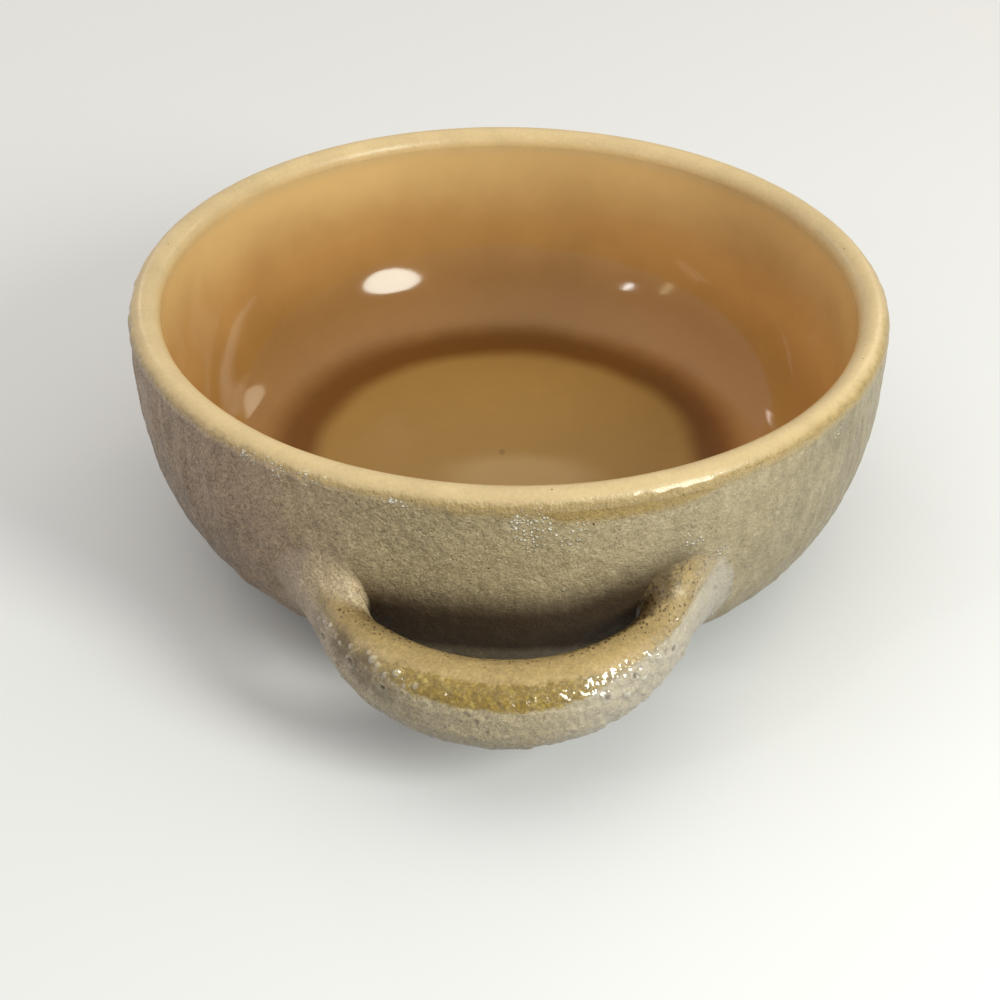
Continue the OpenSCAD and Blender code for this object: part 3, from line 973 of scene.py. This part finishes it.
class SOUPBOWL_OT_clay_body(bpy.types.Operator):
    """Turn the clay wall, floor and foot ring"""

    bl_idname = "soup_bowl.clay_body"
    bl_label = "Clay Body"

    groove_width = 0.55 * MM
    groove_depth = 0.05 * MM

    def execute(self, context):
        sizes = context.scene.soup_bowl
        outline = Outline(sizes)
        foot = even_steps(outline.foot(), 110)
        recess = foot[:, 1] > sizes.foot_recess * 0.9
        foot[:, 1] += np.sin(foot[:, 0] / self.groove_width) * self.groove_depth * recess
        line = np.concatenate([
            foot,
            even_steps(outline.outside(sizes.glaze), 50)[1:],
            even_steps(outline.lip(sizes.glaze), 16)[1:],
            even_steps(outline.inside(sizes.glaze), 70)[1:],
        ])
        piece, _ = new_piece("clay_body", spin(line, CLAY_COLUMNS), closed=False)
        dress(piece, "bowl_body", clay_material(context.scene.soup_bowl_colours))
        return {"FINISHED"}


class SOUPBOWL_OT_interior_glaze(bpy.types.Operator):
    """Pour the amber glaze into the well"""

    bl_idname = "soup_bowl.interior_glaze"
    bl_label = "Interior Glaze"

    def execute(self, context):
        sizes = context.scene.soup_bowl
        outline = Outline(sizes)
        piece = coat_piece("amber_well_glaze", outline.inside, sizes.glaze, 120, 12, inside_relief)
        material = amber_material(context.scene.soup_bowl_colours, outline)
        dress(piece, "interior_glaze", material)
        return {"FINISHED"}


class SOUPBOWL_OT_rim_glaze(bpy.types.Operator):
    """Lay the cream glaze over the lip"""

    bl_idname = "soup_bowl.rim_glaze"
    bl_label = "Rim Glaze"

    def execute(self, context):
        sizes = context.scene.soup_bowl
        outline = Outline(sizes)
        piece = coat_piece(
            "cream_rim_glaze", outline.lip, sizes.glaze, 36, 6,
            lambda shown: lip_relief(shown, outline.lip_middle, outline.lip_radius),
        )
        material = rim_material(context.scene.soup_bowl_colours, outline)
        dress(piece, "rim_glaze", material)
        return {"FINISHED"}


class SOUPBOWL_OT_exterior_glaze(bpy.types.Operator):
    """Run the grey glaze down the outside, to an edge above the bare foot"""

    bl_idname = "soup_bowl.exterior_glaze"
    bl_label = "Exterior Glaze"

    def execute(self, context):
        sizes = context.scene.soup_bowl
        outline = Outline(sizes)
        piece = coat_piece("grey_outer_glaze", outline.outside, sizes.glaze, 112, 6, outside_relief)
        material = grey_material(context.scene.soup_bowl_colours, outline)
        dress(piece, "exterior_glaze", material)
        return {"FINISHED"}


class SOUPBOWL_OT_lug(bpy.types.Operator):
    """Pull the clay lug and coat it"""

    bl_idname = "soup_bowl.lug"
    bl_label = "Lug"

    clay_sides = 72
    coat_sides = 160
    clay_tuck = 0.8 * MM

    def execute(self, context):
        scene = context.scene
        glaze = scene.soup_bowl.glaze
        shape = Lug(scene.soup_bowl_lug, Outline(scene.soup_bowl))
        self.clay(scene, shape, glaze)
        self.coat(scene, shape, glaze)
        return {"FINISHED"}

    def clay(self, scene, shape, glaze):
        """The bare loop under its coat, closed at both ends inside the wall."""
        rings, _ = shape.surface(glaze, 60, 16, self.clay_sides, self.clay_tuck)
        first, last = (np.tile(rings[k].mean(axis=0), (1, self.clay_sides, 1)) for k in (0, -1))
        points = np.concatenate([first, rings, last])
        piece, _ = new_piece("clay_lug", points, closed=False, inside_out=True)
        dress(piece, "lug_handle", clay_material(scene.soup_bowl_colours))

    def coat(self, scene, shape, glaze):
        """The coat: a raised face, whose skin becomes the wall's near it, and a plain back on the clay."""
        face, turn = shape.surface(0.0, 170, 30, self.coat_sides, glaze)
        back, _ = shape.surface(glaze, 24, 8, self.coat_sides, 0.0)
        reach = shape.gap(face, 0.0)
        outness = np.cos(turn) + 0 * reach
        cap = np.sin(turn) - 0.3 * np.cos(turn) + 0 * reach
        values = {"outness": outness, "cap": cap, "reach": reach}
        raised, values["pit"], values["bubble"] = self.relief(shape, face, outness, cap)
        values["stain_and_shade"] = self.stains_and_shade(shape, face)
        raised = raised + (outside_relief(face) * 1.3 - raised) * (1 - smooth(0.5 * MM, 6 * MM, reach))
        raised = raised + self.left_root(face, reach, outness, cap)
        points = np.concatenate([face + grid_normals(face) * raised[..., None], back[::-1]])
        piece, used = new_piece("lug_coat", points, inside_out=True)
        padding = np.zeros(back.shape[:2])
        store(piece, used, **{name: np.concatenate([grid, padding]) for name, grid in values.items()})
        dress(piece, "lug_glaze", lug_material(scene.soup_bowl_colours))

    def left_root(self, face, reach, outness, cap):
        """Height of the ridge on top of the left root and of the crease beside it, each a bell by reach."""
        top = smooth(0.25, 0.75, cap) * smooth(0.3, -0.2, outness) * (face[..., 0] < 0)
        peel = ripple(face, 1.1 * MM, seed=36) * 0.12 * MM
        ridge = bell(reach, 1.4 * MM, 1.1 * MM) * (0.315 * MM + peel)
        crease = bell(reach, 4.6 * MM, 1.2 * MM) * 0.336 * MM
        return (ridge - crease) * top

    def relief(self, shape, face, outness, cap):
        """Height of the coat's skin, and its shares of pit and bubble.

        Lumps and orange peel lie all over, calmer on top. The outer face has scattered craters with brims,
        scattered blisters and the marks that are placed one by one, whose forms are domes and bells.
        """
        calm = smooth(0.62, 0.95, cap)
        outer = smooth(0.15, 0.6, outness) * (1 - calm)
        lumps = ripple(face, 4.5 * MM, seed=31) * 0.12 * MM + ripple(face, 2.1 * MM, seed=32) * 0.11 * MM
        bold = 1 + 1.4 * smooth(4 * MM, 16 * MM, face[..., 0]) * smooth(0.1, 0.5, outness)
        peel = ripple(face, 1.15 * MM, seed=33) * 0.09 * MM + ripple(face, 0.75 * MM, seed=35) * 0.04 * MM
        distance, share = nearest_dot(face, 2.6 * MM, seed=34)
        radius = 0.12 + 0.16 * share
        chosen = (share > 0.4) * outer
        crater = dome(distance, radius) * chosen
        brim = bell(distance, radius, 0.08) * chosen
        distance, share = nearest_dot(face, 1.25 * MM, seed=44)
        blister = dome(distance, 0.22 + 0.22 * share) * outer
        height = (lumps + peel * bold) * (1 - 0.72 * calm)
        height = height + (blister * 0.10 - crater * 0.26 + brim * 0.09) * MM
        pit = crater * 0.6
        bubble = np.zeros(pit.shape)
        for plan, turn, width, rise in LUG_MARKS:
            away = self.away(shape, face, plan, turn, width)
            mark = dome(away)
            brim = bell(away, 1.0, 0.3) * (rise < 0)
            height = height + (mark * rise + brim * abs(rise) * 0.4) * MM
            pit = np.maximum(pit, mark * (rise < 0))
            bubble = np.maximum(bubble, smooth(1.0, 0.7, away) * (rise > 0) + brim * 0.6)
        return height, pit, bubble

    def stains_and_shade(self, shape, face):
        """Share of the brown stains and, on the left outer face, of painted shade, each rising softly to its
        own share in the middle.
        """
        stain_and_shade = np.zeros(face.shape[:-1])
        for plan, turn, width, share in LUG_STAINS_AND_SHADE:
            away = self.away(shape, face, plan, turn, width)
            stain_and_shade = np.maximum(stain_and_shade, smooth(1.0, 0.25, away) * share)
        return stain_and_shade

    def away(self, shape, face, plan, turn, width):
        """Distance of the face's points from a spot on the lug, in multiples of a width in millimetres."""
        spot = shape.plain(np.array(math.radians(plan)), np.array(math.radians(turn)), 0.0)
        return np.linalg.norm(face - spot, axis=-1) / (width * MM)


class SOUPBOWL_OT_studio(bpy.types.Operator):
    """Set up the pale floor, the soft lamps and the camera"""

    bl_idname = "soup_bowl.studio"
    bl_label = "Studio"

    camera_place = (0.98 * MM, -295.39 * MM, 213.2 * MM)
    camera_down, camera_aside, camera_roll = (math.radians(value) for value in (35.774, -0.438, 0.745))
    camera_lens = 64.8
    window_place = (0.388, -0.326, 0.322)
    window_size = (0.210, 0.260)
    window_colour = (0.97, 1.0, 0.90)
    lamp_aim = (0, 0, 30 * MM)
    floor_half_side = 3.0

    # Weak lamps that the well mirrors as small spots: name, place, size, power and colour
    spots = (
        ("left_spot", (-0.363, -0.293, 0.317), (0.021, 0.097), 0.115, (0.97, 1.0, 0.96)),
        ("left_strip", (-0.463, -0.226, 0.212), (0.030, 0.150), 0.045, (1.0, 0.90, 0.50)),
        ("back_spot", (-0.288, 0.428, 0.277), (0.070, 0.065), 0.120, (1.0, 0.86, 0.76)),
        ("back_panel", (0.307, 0.405, 0.291), (0.145, 0.180), 0.220, (1.0, 0.88, 0.64)),
    )

    def execute(self, context):
        settings = context.scene.soup_bowl_studio
        self.floor()
        self.room(context.scene, settings.room)
        self.lamp("window", self.window_place, self.window_size, settings.window, self.window_colour)
        for spot in self.spots:
            self.lamp(*spot)
        self.camera(context.scene)
        context.scene.view_settings.view_transform = "Standard"
        return {"FINISHED"}

    def floor(self):
        """A plain pale floor that gives less light back to the bowl than it shows the camera."""
        side = self.floor_half_side
        corners = [(-side, -side, 0), (side, -side, 0), (side, side, 0), (-side, side, 0)]
        mesh = bpy.data.meshes.new("floor")
        mesh.from_pydata(corners, [], [(0, 1, 2, 3)])
        floor = bpy.data.objects.new("floor", mesh)
        bpy.context.scene.collection.objects.link(floor)
        graph = Graph(bpy.data.materials.new("floor"))
        path = graph.add("ShaderNodeLightPath", output="Is Camera Ray")
        glossy = graph.add("ShaderNodeLightPath", output="Is Glossy Ray")
        through = graph.add("ShaderNodeLightPath", output="Is Transmission Ray")
        dim = graph.add("ShaderNodeBsdfDiffuse", sockets={"Color": (0.07, 0.055, 0.045, 1.0)})
        pale = graph.add("ShaderNodeBsdfDiffuse", sockets={"Color": (0.84, 0.855, 0.90, 1.0)})
        seen = graph.add("ShaderNodeMixShader", sockets={0: path + glossy + through, 1: dim, 2: pale})
        graph.add("ShaderNodeOutputMaterial", sockets={"Surface": seen})
        mesh.materials.append(graph.owner)

    def room(self, scene, level):
        """A soft, faintly warm light from all round, brighter from above and a little from the left."""
        graph = Graph(bpy.data.worlds.new("room"))
        x, y, z = graph.parts(graph.add("ShaderNodeTexCoord", output="Generated"))
        high = graph.step(0.0, 1.0, z) ** 3.0
        strength = high * (0.75 * level) - x * (0.35 * level) + y * (0.08 * level) + level
        warm = (1.0, 0.965, 0.88, 1.0)
        sky = graph.add("ShaderNodeBackground", sockets={"Color": warm, "Strength": strength})
        graph.add("ShaderNodeOutputWorld", sockets={"Surface": sky})
        scene.world = graph.owner

    def lamp(self, name, place, size, power, colour):
        """A soft oval lamp that faces the bowl and doesn't show to the camera."""
        light = bpy.data.lights.new(name, "AREA")
        light.shape = "ELLIPSE"
        light.size, light.size_y = size
        light.energy = power
        light.color = colour
        lamp = bpy.data.objects.new(name, light)
        lamp.location = place
        away = Vector(place) - Vector(self.lamp_aim)
        lamp.rotation_euler = away.to_track_quat("Z", "Y").to_euler()
        lamp.visible_camera = False
        bpy.context.scene.collection.objects.link(lamp)

    def camera(self, scene):
        """The camera stands in front of the lug and looks down into the bowl."""
        down, aside, roll = self.camera_down, self.camera_aside, self.camera_roll
        ahead = Vector((math.sin(aside), math.cos(aside), 0))
        forward = ahead * math.cos(down) - Vector((0, 0, math.sin(down)))
        right = Vector((math.cos(aside), -math.sin(aside), 0))
        upward = right.cross(forward)
        axis_x = right * math.cos(roll) + upward * math.sin(roll)
        axis_y = upward * math.cos(roll) - right * math.sin(roll)
        turned = Matrix((axis_x, axis_y, -forward)).transposed().to_4x4()
        camera = bpy.data.objects.new("camera", bpy.data.cameras.new("camera"))
        camera.data.sensor_width = 36.0
        camera.data.lens = self.camera_lens
        camera.data.clip_start = 1 * MM
        camera.matrix_world = Matrix.Translation(self.camera_place) @ turned
        scene.collection.objects.link(camera)
        scene.camera = camera


class SOUPBOWL_PT_panel(bpy.types.Panel):
    """Sizes, colours and steps of the soup bowl."""

    bl_idname = "SOUPBOWL_PT_panel"
    bl_label = "Soup Bowl"
    bl_space_type = "VIEW_3D"
    bl_region_type = "UI"
    bl_category = "Soup Bowl"

    def draw(self, context):
        for operator in OPERATORS:
            self.layout.operator(operator.bl_idname)
        for name in GROUPS:
            group = getattr(context.scene, name)
            box = self.layout.box()
            for key in group.__annotations__:
                box.prop(group, key)


GROUPS = {
    "soup_bowl": BowlSizes,
    "soup_bowl_lug": LugSizes,
    "soup_bowl_colours": GlazeColours,
    "soup_bowl_studio": StudioSettings,
}
OPERATORS = (
    SOUPBOWL_OT_clay_body,
    SOUPBOWL_OT_interior_glaze,
    SOUPBOWL_OT_rim_glaze,
    SOUPBOWL_OT_exterior_glaze,
    SOUPBOWL_OT_lug,
    SOUPBOWL_OT_studio,
)


def register():
    """Registers the settings, the operators and the panel."""
    for cls in (*GROUPS.values(), *OPERATORS, SOUPBOWL_PT_panel):
        bpy.utils.register_class(cls)
    for name, group in GROUPS.items():
        setattr(bpy.types.Scene, name, PointerProperty(type=group))


def unregister():
    """Takes them out again, the last first."""
    for name in GROUPS:
        delattr(bpy.types.Scene, name)
    for cls in (SOUPBOWL_PT_panel, *reversed(OPERATORS), *reversed(GROUPS.values())):
        bpy.utils.unregister_class(cls)


def main():
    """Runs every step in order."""
    register()
    bpy.ops.soup_bowl.clay_body()
    bpy.ops.soup_bowl.interior_glaze()
    bpy.ops.soup_bowl.rim_glaze()
    bpy.ops.soup_bowl.exterior_glaze()
    bpy.ops.soup_bowl.lug()
    bpy.ops.soup_bowl.studio()


if __name__ == "__main__":
    main()
